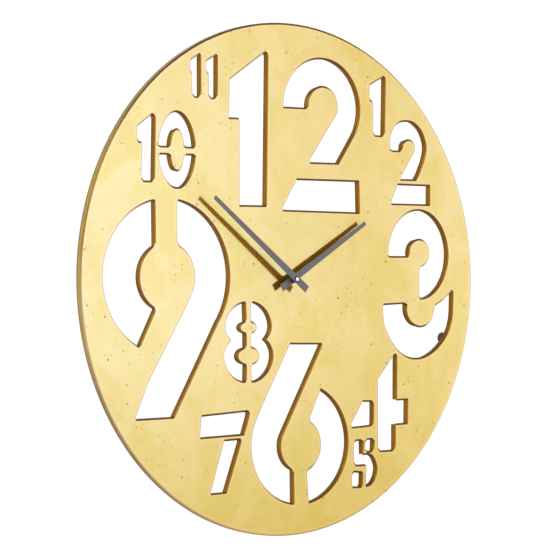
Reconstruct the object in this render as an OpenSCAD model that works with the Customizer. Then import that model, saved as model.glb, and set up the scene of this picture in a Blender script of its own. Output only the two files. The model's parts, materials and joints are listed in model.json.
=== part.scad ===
// Wall clock with a round stencil dial, two plain hands and a quartz movement.
// Millimetres. +X is right, +Z is up and the dial faces -Y. The origin is on
// the hands' axis in the wall plane, so the whole clock lies at negative Y.

/* [Dial] */
// Diameter of the dial; the stencil numerals scale with it
dial_d = 600; // [570:10:660]
// Thickness of the fibreboard core
core_t = 7.5; // [7:0.5:9]
// Thickness of the brass sheet on the face and round the rim
sheet_t = 0.6; // [0.4:0.1:0.8]
// Diameter of the hole that the hands' shaft comes through
shaft_hole_d = 6.4; // [6:0.1:7]

/* [Hanging] */
// Distance from the wall to the back of the dial
wall_gap = 18; // [18:0.5:24]
// Diameter of each rubber wall bumper
bumper_d = 14; // [12:1:18]
// Angle of the first bumper, anticlockwise from 3 o'clock
bumper_angle = -15.4; // [-18:0.2:-12]
// Diameter of the keyhole's round part
keyhole_d = 10; // [9:0.5:11]
// Width of the keyhole's slot
keyhole_slot_w = 4.4; // [4:0.2:5]

/* [Hands] */
// Hour hand, from the axis to its tip
hour_len = 133; // [120:1:140]
// Minute hand, from the axis to its tip
minute_len = 154; // [145:1:165]
// Length of both hands behind the axis
tail_len = 20; // [15:1:25]
// Width of both hands at the tail
hand_tail_w = 9; // [8.6:0.2:10]
// Width of both hands at the tip
hand_tip_w = 4.8; // [3:0.2:6]
// Thickness of both hands
hand_t = 0.8; // [0.6:0.1:1]
// Resting angle of the hour hand, clockwise from 12 o'clock
hour_angle = 60; // [0:1:359]
// Resting angle of the minute hand, clockwise from 12 o'clock
minute_angle = 307.7; // [0:0.1:359.9]
// Height of the hour hand's middle above the face
hour_rise = 7.4; // [7:0.1:9]
// Height of the minute hand's middle above the face
minute_rise = 14.2; // [13.5:0.1:16]

/* [Movement] */
// Width and height of the movement case
case_w = 56; // [56:1:60]
// Wall thickness of the movement case
case_wall = 1.4; // [1.2:0.1:1.6]
// Radius of the shaft that carries the minute hand
arbor_r = 1.6; // [1.5:0.05:1.65]
// Gap between a turning shaft and the sleeve around it
running_gap = 0.08; // [0.05:0.01:0.09]

/* [Hidden] */

$fn = 64;
eps = 0.01;

// Dial planes along Y
dial_r = dial_d / 2;
numeral_k = dial_d / 600;
y_back = -wall_gap;
y_core = y_back - core_t;
y_face = y_core - sheet_t;
y_hour = y_face - hour_rise;
y_minute = y_face - minute_rise;

// Hubs of the hands, with the minute hand's bright pin end in front
hub_r = 3.5;
hub_flange_r = 4.4;
cap_r = 2.25;
collet_r = 4.2;
collet_neck_r = 3;
setting_shaft_r = 1;
knob_r = 6.4;
stator_bore_r = 3.3;
y_hub_front = y_minute - 0.7;
y_arbor_tip = y_minute - 1.1;

// Bumpers, hanger and their screws
bumper_count = 3;
bumper_ring_r = dial_r - 18;
bumper_bore_r = 3.8;
bumper_screw_y = -7;
screw_r = 1.7;
screw_head_r = 3.4;
screw_tip_y = y_back - 5.5;
hanger_z = dial_r - 22;
hanger_plate_t = 1.5;
hanger_w = 50;
hanger_h = 18;
hanger_screw_x = 18;
pocket_depth = 4;

// Movement depths are measured backwards from the front of its case
bracket_t = 1.2;
gasket_t = 0.4;
y_case = y_back + bracket_t + gasket_t;
case_front_t = 1.6;
cover_in = 13.8;
cover_out = 15.2;
case_half = case_w / 2;
bay_half = case_half - case_wall;
bay_top = -12;
divider_t = 1;
bush_r = 3.95;
tube_r = 2.5;
nut_pocket_r = 7.6;
bracket_screws_at = [[-36, -13], [36, -13], [-36, 13], [36, 13]];
cover_screws_at = [[-24.2, 24.2], [5, 24.6], [-24.2, -8.2], [24.2, -8.2]];
train_screws_at = [[-16, -8], [18, -8], [-16, 14], [18, 14]];
board_posts_at = [[-20.5, 10], [-12, 20.5]];

// Gear train: tooth counts, modules and axis positions
setting_at = [0, 12];
third_at = [-8.84, 0];
fifth_at = [8.75, 0];
rotor_at = [14.75, 0];
cannon_m = 0.5;
hour_m = 0.48;
train_m = 0.25;
third_m = 0.26;
centre_m = 8.84 * 2 / 72;
pivot_r = 0.3;
pivot_hole_r = 0.35;
arbor_thin_r = 0.45;

// Battery cell
cell_r = 7.1;
cell_len = 50.5;
nub_len = 1.3;
cell_z = -19.3;
cell_depth = 8.8;

// ---------- outline helpers ----------

// Points of an ellipse arc about (cx, cz), about one every 4 mm
function arc_pts(cx, cz, rx, rz, a0, a1) =
    let (n = max(4, ceil(abs(a1 - a0) * PI / 180 * (rx + rz) / 2 / 4)))
    [for (i = [0:n]) let (a = a0 + (a1 - a0) * i / n) [cx + rx * cos(a), cz + rz * sin(a), 0]];

// A smooth Catmull-Rom curve through a few points
function curve_pts(p, steps = 4) =
    let (last = len(p) - 1)
    [for (i = [0:last - 1], k = [0:i == last - 1 ? steps : steps - 1])
        let (
            t = k / steps,
            a = i == 0 ? 2 * p[0] - p[1] : p[i - 1],
            b = p[i],
            c = p[i + 1],
            d = i == last - 1 ? 2 * p[last] - p[last - 1] : p[i + 2],
            q = 0.5 * (2 * b + (c - a) * t + (2 * a - 5 * b + 4 * c - d) * t * t
                + (3 * b - a - 3 * c + d) * t * t * t)
        ) [q[0], q[1], 0]];

// One corner of an outline: the arc that rounds it, or the corner itself
function corner_pts(prev, here, next) =
    let (
        a = [prev[0] - here[0], prev[1] - here[1]],
        b = [next[0] - here[0], next[1] - here[1]],
        ua = a / norm(a),
        ub = b / norm(b),
        half = acos(max(-1, min(1, ua * ub))) / 2,
        reach = here[2] == 0 ? 0 : min(here[2] / tan(half), 0.48 * norm(a), 0.48 * norm(b)),
        r = reach * tan(half),
        mid = (ua + ub) / norm(ua + ub),
        centre = [here[0], here[1]] + mid * r / sin(half),
        p0 = [here[0], here[1]] + ua * reach - centre,
        turn = 180 - 2 * half,
        side = ua[0] * ub[1] - ua[1] * ub[0] > 0 ? -1 : 1,
        steps = max(2, ceil(turn / 18))
    )
    reach == 0 || half > 89 ? [[here[0], here[1]]] :
    [for (i = [0:steps]) let (t = side * turn * i / steps)
        centre + [p0[0] * cos(t) - p0[1] * sin(t), p0[0] * sin(t) + p0[1] * cos(t)]];

// A whole outline from [x, z, corner radius] points
function outline(p) =
    let (n = len(p))
    [for (i = [0:n - 1]) each corner_pts(p[(i + n - 1) % n], p[i], p[(i + 1) % n])];

// A rectangle with rounded corners, as an outline
function round_rect(x0, z0, x1, z1, r) = outline([[x0, z0, r], [x1, z0, r], [x1, z1, r], [x0, z1, r]]);

// ---------- stencil numerals, on a 600 mm dial ----------

twelve = [
    [[-33, 85, 1.5], [-74.5, 85, 1.5], [-73.5, 185.5, 1.5], [-89.5, 185.5, 1.5], [-87.5, 230.5, 2],
        [-28.5, 268.5, 5]],
    concat(arc_pts(54, 203, 61, 58.4, 180, -30), [[80, 137, 1.5], [30, 137, 3]],
        arc_pts(55.5, 204, 23, 24, -14, 180), [[33, 201, 1], [-6.5, 201, 1.5]]),
    [[13, 117.5, 1.5], [112.5, 117, 1.5], [113, 78.5, 1.5], [-12, 80.3, 3]]
];

one = [
    [[155, 172, 1], [135, 172, 1], [135.5, 213.5, 1.5], [129.5, 215, 1], [130, 233.5, 1.5],
        [157.3, 247, 4]]
];

two = [
    concat(
        curve_pts([[163.5, 157], [163, 170], [170, 184], [180, 190.5], [193.5, 192.2], [205, 189.7],
            [217.6, 179.7], [224.5, 163], [221.8, 147], [213, 129], [207.6, 121]]),
        [[207, 120, 1], [177.5, 120, 2]], arc_pts(194.6, 159, 10, 10, -20, 180),
        [[184.6, 154.5, 0.8], [163.4, 154.5, 1]]),
    [[175, 114.5, 1.5], [230.5, 114, 1.5], [230, 89.7, 1.5], [162.5, 90, 2.5]]
];

three = [
    concat(arc_pts(209.7, 29, 51, 54.7, 183, -90), [[209.7, -25.7, 1]],
        arc_pts(211, 31, 16.4, 16.4, -93, 198)),
    concat([[149.5, -31.3, 1.5]],
        curve_pts([[149, -37], [151, -55], [158.7, -70], [172, -86.3], [189, -96], [205, -98.6],
            [222.7, -95.7], [242.7, -85], [258.7, -69], [266.7, -50], [268.7, -25]]),
        [[268.5, -13, 5], [250, -27, 8], [236, -33.8, 1.5]],
        arc_pts(212, -36.5, 22.8, 22.8, -4, -190), [[188.6, -30, 1]])
];

four = [
    [[115, -147, 2], [133.5, -147.5, 1], [133, -177, 1], [91.5, -178.8, 4]],
    [[168.5, -209, 1], [139, -209, 1], [139.5, -121.5, 2], [172.6, -85.8, 4], [171.5, -147.5, 1],
        [190, -147.5, 1.5], [189.3, -177.3, 1.5], [169, -177.5, 1]]
];

five = [
    concat([[99.5, -193.5, 1], [115.5, -193.5, 0.6], [115.5, -211, 0.6]],
        curve_pts([[124, -211], [131, -214], [135.6, -220], [138.5, -229], [136, -239], [130, -246.5],
            [121, -250]], 3),
        [[118.5, -250.5, 1.2], [120, -224.2, 2.5], [99.7, -224, 1]]),
    [[118.3, -193, 1], [134, -193, 1], [133, -208.5, 1], [118.2, -208.5, 0.6]],
    [[96, -230.5, 1], [115, -232.3, 4], [114.3, -250.8, 5], [96.5, -249.6, 3]]
];

six = [
    concat([[0.5, -75.3, 1.5], [52.5, -76.5, 2], [-4, -170.5, 12]],
        arc_pts(16.5, -195.5, 30.8, 30.8, 158, 249), [[5.5, -263, 1.5]],
        arc_pts(16, -194, 75.7, 70.5, 260, 157), [[-45, -150, 12]]),
    concat([[47.5, -129.8, 1.5]], arc_pts(16, -194, 75.7, 70.5, 60, -77), [[27.5, -263.6, 1.5]],
        arc_pts(16.5, -195.5, 30.8, 30.8, -75, 67))
];

seven = [
    [[-133, -154.6, 2], [-59.5, -151.3, 4], [-69.5, -178.8, 2.5], [-135.5, -180, 2]],
    [[-100, -184, 2], [-72.6, -183.5, 3], [-96.5, -244.2, 1.5], [-121.3, -244.5, 2]]
];

// One half of the 8; the other is its mirror image about the bridge at x = -62
eight_half = concat(
    arc_pts(-62, -55, 35, 29.6, 96, 180), arc_pts(-62, -55, 35, 22, 190, 220),
    arc_pts(-62.5, -88, 36.7, 25.5, 136, 180), arc_pts(-62.5, -88, 36.7, 31, 187, 265),
    arc_pts(-62.9, -88.3, 14.8, 10, 262, 98), arc_pts(-62, -55.4, 12, 7, 256, 104));
eight = [eight_half, [for (p = eight_half) [-124 - p[0], p[1], p[2]]]];

nine = [
    concat(arc_pts(-179.5, 4, 90.8, 88, 100.5, 244), arc_pts(-179.5, 3.5, 39, 39, 246, 114.7)),
    concat(arc_pts(-179.5, 4, 90.8, 88, 81.3, -36), [[-171.5, -155, 2.5], [-228, -155.2, 2.5],
        [-208, -113, 60], [-158, -36.5, 12]], arc_pts(-179.5, 3.5, 39, 39, -30, 69.5))
];

ten = [
    [[-196.5, 110.5, 1], [-216, 110.5, 1], [-214, 153.8, 1.5], [-221.5, 154.5, 1], [-221, 172, 1.5],
        [-194.3, 191, 5]],
    concat(arc_pts(-164.5, 147.3, 27, 43.4, 176.4, 3.6), arc_pts(-164.2, 147, 9.5, 23.5, 7.3, 172.7)),
    concat(arc_pts(-164.5, 147.3, 27, 43.4, -6.7, -173.3), arc_pts(-164.2, 147, 9.5, 23.5, -168.2, -11.8))
];

eleven = [
    [[-129, 207.5, 1], [-142.5, 207.5, 1], [-142.5, 235, 0.8], [-146, 236, 0.8], [-145, 249.5, 1.5],
        [-128.7, 259.3, 3]],
    [[-105, 207, 1], [-118.5, 207, 1], [-118.5, 235.3, 0.8], [-123, 236.5, 0.8], [-122.5, 249.5, 1.5],
        [-104.2, 259.3, 3]]
];

numerals = concat(twelve, one, two, three, four, five, six, seven, eight, nine, ten, eleven);

module numeral_cuts() {
    for (shape = numerals)
        polygon(numeral_k * outline(shape));
}

// ---------- solid helpers ----------

// Extrudes a drawing of the XZ plane from y0 back to y1
module along_y(y0, y1) {
    translate([0, y1, 0])
        rotate([90, 0, 0])
            linear_extrude(height = y1 - y0)
                children();
}

// The same inside the movement, by depth behind the case's front face
module at_depth(d0, d1) {
    along_y(y_case + d0, y_case + d1)
        children();
}

// A disc or ring on a movement axis
module ring(at, r, bore, d0, d1) {
    at_depth(d0, d1)
        translate(at)
            difference() {
                circle(r = r);
                if (bore > 0)
                    circle(r = bore);
            }
}

// Gear outline with a tooth at angle 0; the flanks leave plenty of backlash
function gear_pts(teeth, m) =
    let (r = teeth * m / 2, pitch = 360 / teeth)
    [for (i = [0:teeth - 1], c = [[-0.23, -1.15], [-0.11, 0.85], [0.11, 0.85], [0.23, -1.15]])
        let (a = (i + c[0]) * pitch, q = r + c[1] * m) q * [cos(a), sin(a)]];

module gear(at, teeth, m, phase, bore, d0, d1) {
    at_depth(d0, d1)
        translate(at)
            difference() {
                rotate(phase)
                    polygon(gear_pts(teeth, m));
                if (bore > 0)
                    circle(r = bore);
            }
}

// Four windows that lighten a wheel
module wheel_windows(at, reach, r, d0, d1) {
    at_depth(d0, d1)
        for (a = [45:90:315])
            translate(at + reach * [cos(a), sin(a)])
                circle(r = r);
}

// A train arbor with a thin pivot at each end
module train_arbor(at, d0, d1) {
    ring(at, arbor_thin_r, 0, d0, d1);
    ring(at, pivot_r, 0, d0 - 0.8, d0 + eps);
    ring(at, pivot_r, 0, d1 - eps, d1 + 0.8);
}

// Pan-head screw whose head faces the wall and whose seat is at seat_y
module wall_side_screw(at, head_r, head_t, shank_r, seat_y, tip_y) {
    translate([at[0], 0, at[1]]) {
        difference() {
            along_y(seat_y, seat_y + head_t)
                circle(r = head_r);
            for (a = [0, 90])
                along_y(seat_y + head_t * 0.4, seat_y + head_t + 1)
                    rotate(a)
                        square([head_r * 1.3, head_r * 0.3], center = true);
        }
        along_y(tip_y + shank_r, seat_y + eps)
            circle(r = shank_r);
        translate([0, tip_y + shank_r + eps, 0])
            rotate([90, 0, 0])
                cylinder(h = shank_r, r1 = shank_r, r2 = shank_r * 0.2);
    }
}

// A tapered strip for a hand, pointing up
module hand_shape(length) {
    polygon([
        [-hand_tail_w / 2, -tail_len], [hand_tail_w / 2, -tail_len],
        [hand_tip_w / 2, length], [-hand_tip_w / 2, length]
    ]);
}

// ---------- dial ----------

function bumper_at(i) = let (a = bumper_angle + 360 / bumper_count * i) bumper_ring_r * [cos(a), sin(a)];

module dial_core() {
    color("peru")
        difference() {
            along_y(y_core, y_back)
                difference() {
                    circle(r = dial_r - sheet_t, $fn = 180);
                    numeral_cuts();
                    circle(d = shaft_hole_d);
                }
            along_y(y_case - 5.8, y_back + 1)
                circle(r = nut_pocket_r);
            along_y(y_back - pocket_depth, y_back + 1)
                translate([0, hanger_z])
                    square([keyhole_d + 4, hanger_h - 2], center = true);
            for (p = concat([for (i = [1:bumper_count]) bumper_at(i)], bracket_screws_at,
                    [[-hanger_screw_x, hanger_z], [hanger_screw_x, hanger_z]]))
                along_y(screw_tip_y - 0.2, y_back + 1)
                    translate(p)
                        circle(r = screw_r);
        }
}

module brass_face() {
    color("khaki")
        along_y(y_face, y_core)
            difference() {
                circle(r = dial_r, $fn = 180);
                numeral_cuts();
                circle(d = shaft_hole_d);
            }
}

module brass_rim_band() {
    color("darkkhaki")
        along_y(y_core, y_back)
            difference() {
                circle(r = dial_r, $fn = 180);
                circle(r = dial_r - sheet_t, $fn = 180);
            }
}

// ---------- hanging and wall bumpers ----------

module hanger_plate() {
    keyhole_z = hanger_z - 3;
    color("silver")
        along_y(y_back, y_back + hanger_plate_t)
            difference() {
                polygon(round_rect(-hanger_w / 2, hanger_z - hanger_h / 2, hanger_w / 2,
                    hanger_z + hanger_h / 2, 4));
                translate([0, keyhole_z])
                    circle(d = keyhole_d);
                translate([-keyhole_slot_w / 2, keyhole_z])
                    square([keyhole_slot_w, 8]);
                translate([0, keyhole_z + 8])
                    circle(d = keyhole_slot_w);
                for (x = [-hanger_screw_x, hanger_screw_x])
                    translate([x, hanger_z])
                        circle(r = screw_r + 0.2);
            }
}

module hanger_screws() {
    color("gainsboro")
        for (x = [-hanger_screw_x, hanger_screw_x])
            wall_side_screw([x, hanger_z], screw_head_r, 1.6, screw_r, y_back + hanger_plate_t, screw_tip_y);
}

module wall_bumpers() {
    edge_r = 1.5;
    r = bumper_d / 2;
    color("dimgray")
        for (i = [1:bumper_count])
            translate([bumper_at(i)[0], 0, bumper_at(i)[1]])
                rotate([90, 0, 0])
                    rotate_extrude()
                        polygon(concat(
                            [[bumper_bore_r, 0]],
                            [for (a = [0:15:90]) [r - edge_r + edge_r * sin(a), edge_r - edge_r * cos(a)]],
                            [[r, wall_gap], [screw_r + 0.2, wall_gap], [screw_r + 0.2, -bumper_screw_y],
                                [bumper_bore_r, -bumper_screw_y]]));
}

module bumper_screws() {
    color("gainsboro")
        for (i = [1:bumper_count])
            wall_side_screw(bumper_at(i), screw_head_r, 2, screw_r, bumper_screw_y, screw_tip_y);
}

// ---------- movement mounting ----------

module movement_bracket() {
    color("silver")
        along_y(y_back, y_back + bracket_t)
            difference() {
                polygon(round_rect(-42, -19, 42, 19, 5));
                circle(r = bush_r + 0.1);
                for (p = bracket_screws_at)
                    translate(p)
                        circle(r = screw_r + 0.2);
            }
}

module bracket_screws() {
    color("gainsboro")
        for (p = bracket_screws_at)
            wall_side_screw(p, 3.2, 1.8, screw_r, y_back + bracket_t, screw_tip_y);
}

module case_gasket() {
    color("black")
        at_depth(-gasket_t, 0)
            difference() {
                polygon(round_rect(-17, -17, 17, 17, 4));
                circle(r = bush_r + 0.1);
            }
}

module threaded_bush() {
    color("goldenrod") {
        ring([0, 0], bush_r, tube_r + running_gap, -5.2, case_front_t);
        ring([0, 0], 5.5, bush_r - 0.5, case_front_t - 0.6, case_front_t);
        for (d = [-5:0.8:-2.6])
            ring([0, 0], bush_r + 0.02, bush_r - 0.5, d, d + 0.35);
    }
}

module bush_washer() {
    color("gainsboro")
        ring([0, 0], 6.5, bush_r + 0.1, -2.2, -1.6);
}

module bush_nut() {
    color("goldenrod")
        at_depth(-4.6, -2.2)
            difference() {
                circle(d = 12.7, $fn = 6);
                circle(r = bush_r + 0.06);
            }
}

// ---------- movement case ----------

module front_case() {
    color([0.16, 0.16, 0.17])
        difference() {
            union() {
                difference() {
                    at_depth(0, cover_out)
                        polygon(round_rect(-case_half, -case_half, case_half, case_half, 4));
                    // Gear and coil room
                    at_depth(case_front_t, cover_out + 1)
                        polygon(round_rect(-bay_half, bay_top + divider_t, bay_half, bay_half, 2.6));
                    // Battery bay, open to the wall side
                    at_depth(case_front_t, cover_out + 1)
                        polygon(round_rect(-bay_half, -bay_half, bay_half, bay_top, 0.8));
                    // Seat of the rear cover
                    at_depth(cover_in, cover_out + 1)
                        translate([-case_half - 1, bay_top + divider_t])
                            square([case_w + 2, case_w]);
                }
                for (p = cover_screws_at)
                    ring(p, 2.2, 0, case_front_t - eps, cover_in);
                for (p = train_screws_at)
                    ring(p, 1.8, 0, case_front_t - eps, 4.1);
                for (p = board_posts_at)
                    ring(p, 1.3, 0, case_front_t - eps, 11.2);
            }
            ring([0, 0], bush_r, 0, -1, case_front_t + 1);
            ring([0, 0], 5.5, 0, case_front_t - 0.6, case_front_t + 1);
            ring(setting_at, 1 + running_gap, 0, 0.7, case_front_t + 1);
            for (p = cover_screws_at)
                ring(p, 0.9, 0, 8, cover_in + 1);
            for (p = train_screws_at)
                ring(p, 0.6, 0, 1.8, 5);
        }
}

module rear_cover() {
    color([0.2, 0.2, 0.21])
        difference() {
            union() {
                at_depth(cover_in, cover_out)
                    polygon(outline([[-case_half, bay_top + divider_t + 0.1, 0.5],
                        [case_half, bay_top + divider_t + 0.1, 0.5], [case_half, case_half, 4],
                        [-case_half, case_half, 4]]));
                // Well that the setting knob sits in
                ring(setting_at, 7.8, 0, 12.4, cover_out);
            }
            ring(setting_at, 7, 0, 13.2, cover_out + 1);
            ring(setting_at, 1 + running_gap, 0, 12, 14);
            for (p = [[0, 0], third_at, fifth_at, rotor_at])
                ring(p, pivot_hole_r, 0, cover_in - 1, cover_in + 0.9);
            for (p = cover_screws_at)
                ring(p, 1.1, 0, cover_in - 1, cover_out + 1);
        }
}

module cover_screws() {
    color("gainsboro")
        for (p = cover_screws_at)
            wall_side_screw(p, 1.9, 0.9, 0.9, y_case + cover_out, y_case + 8.4);
}

module train_plate() {
    color("ivory")
        difference() {
            at_depth(4.1, 5)
                polygon(round_rect(-18.5, -10.4, 20.5, 17, 2.5));
            ring([0, 0], 2.2, 0, 4, 6);
            ring(setting_at, 1 + running_gap, 0, 4, 6);
            for (p = [third_at, fifth_at, rotor_at])
                ring(p, pivot_hole_r, 0, 4, 6);
            for (p = train_screws_at)
                ring(p, 0.8, 0, 4, 6);
        }
}

module train_plate_screws() {
    color("gainsboro")
        for (p = train_screws_at)
            wall_side_screw(p, 1.4, 0.8, 0.6, y_case + 5, y_case + 2);
}

// ---------- motor, circuit and battery ----------

module stator() {
    color("slategray")
        at_depth(10.2, 11)
            difference() {
                polygon(outline([[10.4, -5, 1], [26.2, -5, 1], [26.2, 24, 0.5], [23.6, 24, 0.5],
                    [23.6, 5, 0.8], [13, 5, 0.8], [13, 24, 0.5], [10.4, 24, 0.5]]));
                translate(rotor_at)
                    circle(r = stator_bore_r);
                // Saturation notches above and below the rotor
                for (z = [-4.6, 4.6])
                    translate([rotor_at[0], z])
                        circle(r = 0.6);
            }
}

module coil_core() {
    color("slategray")
        at_depth(9.4, 10.2)
            translate([10.4, 20])
                square([15.8, 3]);
}

// A square-holed spool round the coil core, along X
module coil_ring(r, x0, x1) {
    translate([x0, y_case + 9.8, 21.5])
        rotate([0, 90, 0])
            difference() {
                cylinder(h = x1 - x0, r = r);
                translate([0, 0, (x1 - x0) / 2])
                    cube([3.1, 0.9, x1 - x0 + 2], center = true);
            }
}

module coil_bobbin() {
    color("white") {
        coil_ring(1.9, 13.6, 23.2);
        coil_ring(3, 13.6, 14.2);
        coil_ring(3, 22.6, 23.2);
    }
}

module coil_winding() {
    color("chocolate")
        translate([14.25, y_case + 9.8, 21.5])
            rotate([0, 90, 0])
                difference() {
                    cylinder(h = 8.3, r = 2.8);
                    translate([0, 0, -1])
                        cylinder(h = 11, r = 1.95);
                }
}

module circuit_board() {
    color("seagreen")
        difference() {
            at_depth(11.2, 12)
                polygon(round_rect(-22, 8, -10.4, 22, 0.6));
            for (p = board_posts_at)
                ring(p, 0.5, 0, 11, 13);
        }
}

module quartz_crystal() {
    color("silver")
        translate([-14.2, y_case + 13, 10.2])
            cylinder(h = 6, r = 0.75);
}

module timer_chip() {
    color([0.08, 0.08, 0.08])
        at_depth(12, 13)
            polygon(round_rect(-20.6, 14.4, -16.4, 18.6, 0.4));
}

module battery() {
    color("darkgreen")
        translate([-cell_len / 2, y_case + cell_depth, cell_z])
            rotate([0, 90, 0]) {
                cylinder(h = cell_len - nub_len, r = cell_r);
                cylinder(h = cell_len, r = 2.75);
            }
}

module battery_contact_plus() {
    color("silver")
        translate([0, y_case + cell_depth, cell_z]) {
            translate([bay_half - 0.3, -5, -6])
                cube([0.3, 10, 12]);
            translate([cell_len / 2, 0, 0])
                rotate([0, 90, 0])
                    cylinder(h = bay_half - 0.2 - cell_len / 2, r = 1.8);
        }
}

module battery_contact_minus() {
    color("silver")
        translate([-bay_half, y_case + cell_depth, cell_z]) {
            translate([0, -5, -6])
                cube([0.3, 10, 12]);
            rotate([0, 90, 0])
                difference() {
                    cylinder(h = bay_half - cell_len / 2, r = 3.2);
                    translate([0, 0, 0.3])
                        cylinder(h = 5, r = 2.6);
                }
        }
}

// ---------- going train ----------

module rotor_magnet() {
    color("dimgray")
        ring(rotor_at, 2.6, arbor_thin_r, 9.7, 11.5);
}

module rotor_pinion() {
    color("white") {
        gear(rotor_at, 8, train_m, 180 + 180 / 8, 0, 8.5, 9.4);
        train_arbor(rotor_at, 5.2, 13.6);
    }
}

module fifth_wheel() {
    color("linen") {
        difference() {
            gear(fifth_at, 40, train_m, 0, 0, 8.6, 9.2);
            wheel_windows(fifth_at, 3, 1, 8, 10);
        }
        gear(fifth_at, 10, train_m, 180 + 180 / 10, 0, 7.4, 8.3);
        ring(fifth_at, 1, 0, 8.2, 8.7);
        train_arbor(fifth_at, 5.2, 13.6);
    }
}

module seconds_wheel() {
    color("linen") {
        difference() {
            gear([0, 0], 60, train_m, 0, 0, 7.5, 8.1);
            wheel_windows([0, 0], 4.4, 1.7, 7, 9);
        }
        gear([0, 0], 8, third_m, 180, 0, 6.4, 7.2);
        ring([0, 0], 0.9, 0, 7.1, 7.6);
        train_arbor([0, 0], 6.35, 13.6);
    }
}

module third_wheel() {
    color("linen") {
        difference() {
            gear(third_at, 60, third_m, 180 / 60, 0, 6.5, 7.1);
            wheel_windows(third_at, 4.4, 1.7, 6, 8);
        }
        gear(third_at, 8, centre_m, 180 / 8, 0, 5.2, 6.2);
        ring(third_at, 0.8, 0, 6.1, 6.6);
        train_arbor(third_at, 5.1, 13.6);
    }
}

module centre_wheel() {
    color("linen")
        difference() {
            union() {
                gear([0, 0], 64, centre_m, 180, 0, 5.4, 6);
                ring([0, 0], 2.8, 0, 5.2, 6);
            }
            ring([0, 0], arbor_r + running_gap, 0, 5, 7);
            wheel_windows([0, 0], 5, 1.5, 5, 7);
        }
}

// ---------- hands and motion work ----------

module minute_arbor() {
    color("goldenrod")
        difference() {
            union() {
                along_y(y_arbor_tip, y_case + 6.25)
                    circle(r = arbor_r);
                gear([0, 0], 12, cannon_m, 90, 0, 3, 3.8);
                // Flange that the clutch of the centre wheel bears on
                ring([0, 0], 2.2, 0, 6.1, 6.25);
            }
            // Bearing for the seconds wheel's front pivot
            ring([0, 0], pivot_hole_r, 0, 5, 7);
        }
}

module minute_hub() {
    color([0.05, 0.05, 0.05])
        difference() {
            union() {
                along_y(y_hub_front, y_minute + 5.2)
                    circle(r = hub_r);
                // Flange behind the hand
                along_y(y_minute + hand_t / 2, y_minute + 5.2)
                    circle(r = hub_flange_r);
            }
            along_y(y_minute - 2, y_hour)
                circle(r = arbor_r);
        }
}

module minute_hand() {
    color([0.42, 0.41, 0.43])
        along_y(y_minute - hand_t / 2, y_minute + hand_t / 2)
            rotate(-minute_angle)
                difference() {
                    hand_shape(minute_len);
                    circle(r = hub_r);
                }
}

module minute_cap() {
    color("white")
        difference() {
            along_y(y_hub_front - 1, y_hub_front)
                circle(r = cap_r);
            along_y(y_arbor_tip, y_minute)
                circle(r = arbor_r);
        }
}

module setting_wheel() {
    color("ivory") {
        difference() {
            gear(setting_at, 36, cannon_m, 270 + 180 / 36, 0, 3, 3.8);
            wheel_windows(setting_at, 5.4, 1.8, 2.9, 4);
        }
        gear(setting_at, 10, hour_m, 270 + 180 / 10, 0, 1.9, 2.8);
        ring(setting_at, 1.6, 0, 2.7, 3.1);
        ring(setting_at, setting_shaft_r, 0, 0.9, 15);
    }
}

module setting_knob() {
    color([0.1, 0.1, 0.1])
        at_depth(13.5, 16)
            translate(setting_at)
                difference() {
                    circle(r = knob_r);
                    for (a = [0:15:345])
                        translate((knob_r + 0.1) * [cos(a), sin(a)])
                            circle(r = 0.45, $fn = 16);
                    circle(r = setting_shaft_r);
                }
}

module hour_wheel() {
    color("ivory")
        difference() {
            union() {
                gear([0, 0], 40, hour_m, 90, 0, 1.9, 2.7);
                along_y(y_hour - 0.8, y_case + 2.7)
                    circle(r = tube_r);
            }
            along_y(y_hour - 2, y_case + 4)
                circle(r = arbor_r + running_gap);
            wheel_windows([0, 0], 5.8, 1.9, 1.5, 4);
        }
}

module hour_collet() {
    color([0.05, 0.05, 0.05]) {
        along_y(y_hour + hand_t / 2, y_hour + hand_t / 2 + 1.4)
            difference() {
                circle(r = collet_r);
                circle(r = tube_r);
            }
        along_y(y_hour - hand_t / 2 - 0.15, y_hour + hand_t / 2 + eps)
            difference() {
                circle(r = collet_neck_r);
                circle(r = tube_r);
            }
    }
}

module hour_hand() {
    color([0.44, 0.43, 0.45])
        along_y(y_hour - hand_t / 2, y_hour + hand_t / 2)
            rotate(-hour_angle)
                difference() {
                    hand_shape(hour_len);
                    circle(r = collet_neck_r);
                }
}

// ---------- drawing ----------

dial_core();
brass_face();
brass_rim_band();
hanger_plate();
hanger_screws();
wall_bumpers();
bumper_screws();
movement_bracket();
bracket_screws();
case_gasket();
threaded_bush();
bush_washer();
bush_nut();
front_case();
rear_cover();
cover_screws();
train_plate();
train_plate_screws();
stator();
coil_core();
coil_bobbin();
coil_winding();
circuit_board();
quartz_crystal();
timer_chip();
battery();
battery_contact_plus();
battery_contact_minus();
rotor_magnet();
rotor_pinion();
fifth_wheel();
seconds_wheel();
third_wheel();
centre_wheel();
minute_arbor();
minute_hub();
minute_hand();
minute_cap();
setting_wheel();
setting_knob();
hour_wheel();
hour_collet();
hour_hand();
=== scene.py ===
import json
import math

import bmesh
import bpy
import numpy as np
from mathutils import Matrix, Vector
from mathutils.geometry import delaunay_2d_cdt


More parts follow.
